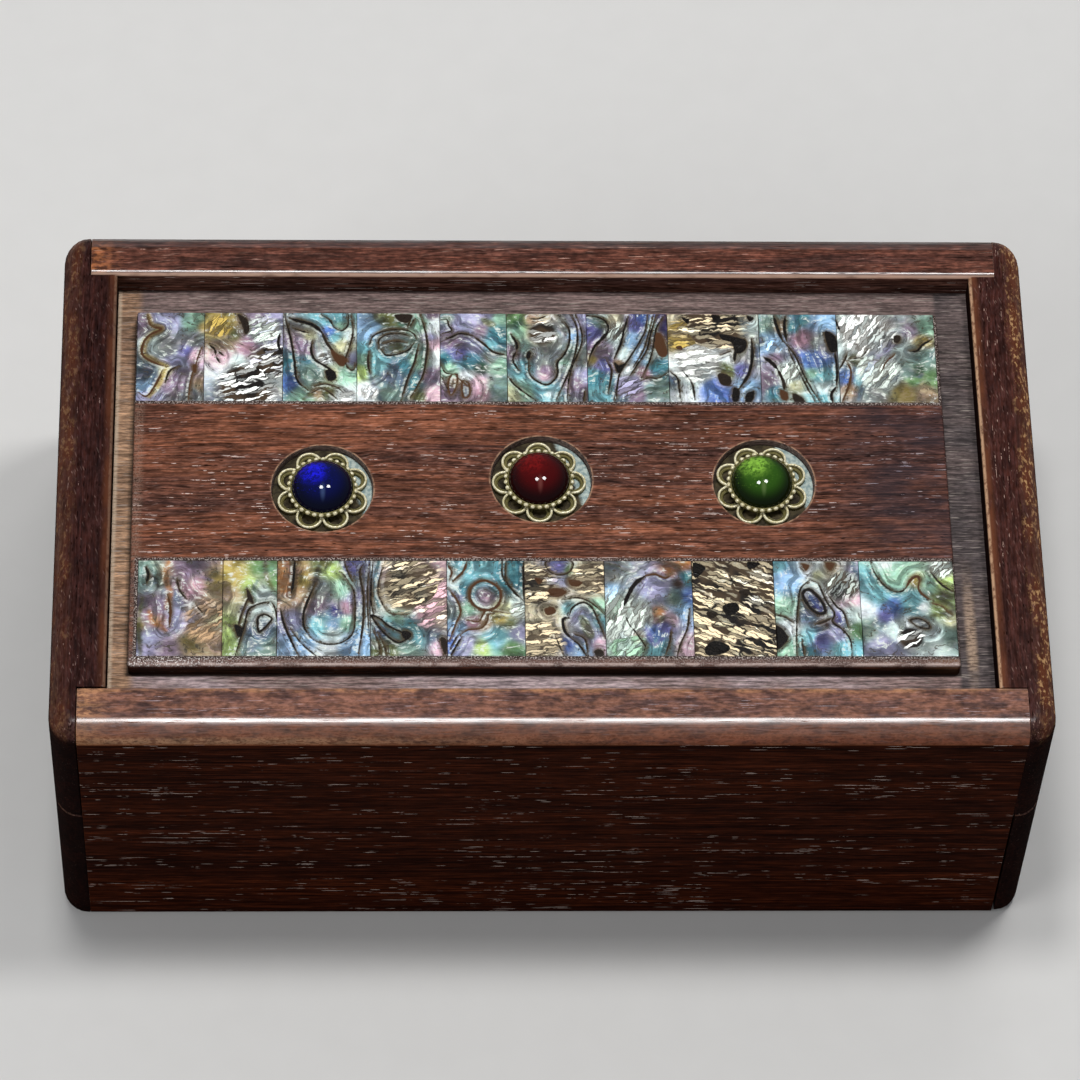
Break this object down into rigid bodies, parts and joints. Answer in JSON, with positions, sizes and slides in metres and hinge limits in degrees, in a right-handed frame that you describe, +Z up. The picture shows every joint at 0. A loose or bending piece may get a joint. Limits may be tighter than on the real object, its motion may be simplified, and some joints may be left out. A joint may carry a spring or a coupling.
{
  "type": "puzzle box",
  "caption": "Rosewood puzzle box: sliding inlaid lid that carries half an end wall, hidden tilt-lock pins, and a secret drawer behind the other end.",
  "frame": {"origin": "under the middle of the base, on the surface it stands on", "axes": "+X along the box to the drawer's end, +Y to the back board, +Z up"},
  "size_m": [0.165, 0.1, 0.0632],
  "materials": {
    "rosewood_board": "hand-rubbed satin, open pores, worn edges",
    "rosewood_end": "hand-rubbed satin, end grain at the rounded corners",
    "rosewood_lid": "hand-rubbed satin, open pores",
    "inner_wood": "unfinished, sanded",
    "abalone": "polished shell",
    "pearl": "polished shell",
    "brass": "stamped, darkened in the hollows",
    "steel": "plain wire",
    "blue_glass": "clear glass over foil",
    "red_glass": "clear glass over foil",
    "green_glass": "clear glass over foil"
  },
  "bodies": {
    "carcass": {"front_board": "rosewood_board", "back_board": "rosewood_board", "left_end_lower": "rosewood_end", "right_end_upper": "rosewood_end", "bottom_board": "inner_wood", "tray_floor": "inner_wood"},
    "lid": {"lid_panel": "rosewood_lid", "lid_end_block": "rosewood_end", "back_tile_1": "abalone", "back_tile_2": "abalone", "back_tile_3": "abalone", "back_tile_4": "abalone", "back_tile_5": "abalone", "back_tile_6": "abalone", "back_tile_7": "abalone", "back_tile_8": "abalone", "back_tile_9": "abalone", "back_tile_10": "abalone", "front_tile_1": "abalone", "front_tile_2": "abalone", "front_tile_3": "abalone", "front_tile_4": "abalone", "front_tile_5": "abalone", "front_tile_6": "abalone", "front_tile_7": "abalone", "front_tile_8": "abalone", "front_tile_9": "abalone", "front_tile_10": "abalone", "blue_pearl_disc": "pearl", "red_pearl_disc": "pearl", "green_pearl_disc": "pearl", "blue_flower_setting": "brass", "red_flower_setting": "brass", "green_flower_setting": "brass", "blue_bead_bezel": "brass", "red_bead_bezel": "brass", "green_bead_bezel": "brass", "blue_cabochon": "blue_glass", "red_cabochon": "red_glass", "green_cabochon": "green_glass"},
    "drawer": {"drawer_front": "rosewood_end", "drawer_front_side": "inner_wood", "drawer_back_side": "inner_wood", "drawer_end": "inner_wood", "drawer_floor": "inner_wood"},
    "front_pin": {"front_lock_pin": "steel"},
    "back_pin": {"back_lock_pin": "steel"}
  },
  "joints": [
    {"name": "lid_slide", "type": "slide", "parent": "carcass", "child": "lid", "axis": [-1, 0, 0], "range_m": [0, 0.159]},
    {"name": "drawer_slide", "type": "slide", "parent": "carcass", "child": "drawer", "axis": [1, 0, 0], "range_m": [0, 0.156]},
    {"name": "front_pin_slide", "type": "slide", "parent": "carcass", "child": "front_pin", "axis": [0, 1, 0], "range_m": [0, 0.0025]},
    {"name": "back_pin_slide", "type": "slide", "parent": "carcass", "child": "back_pin", "axis": [0, -1, 0], "range_m": [0, 0.0025]}
  ]
}
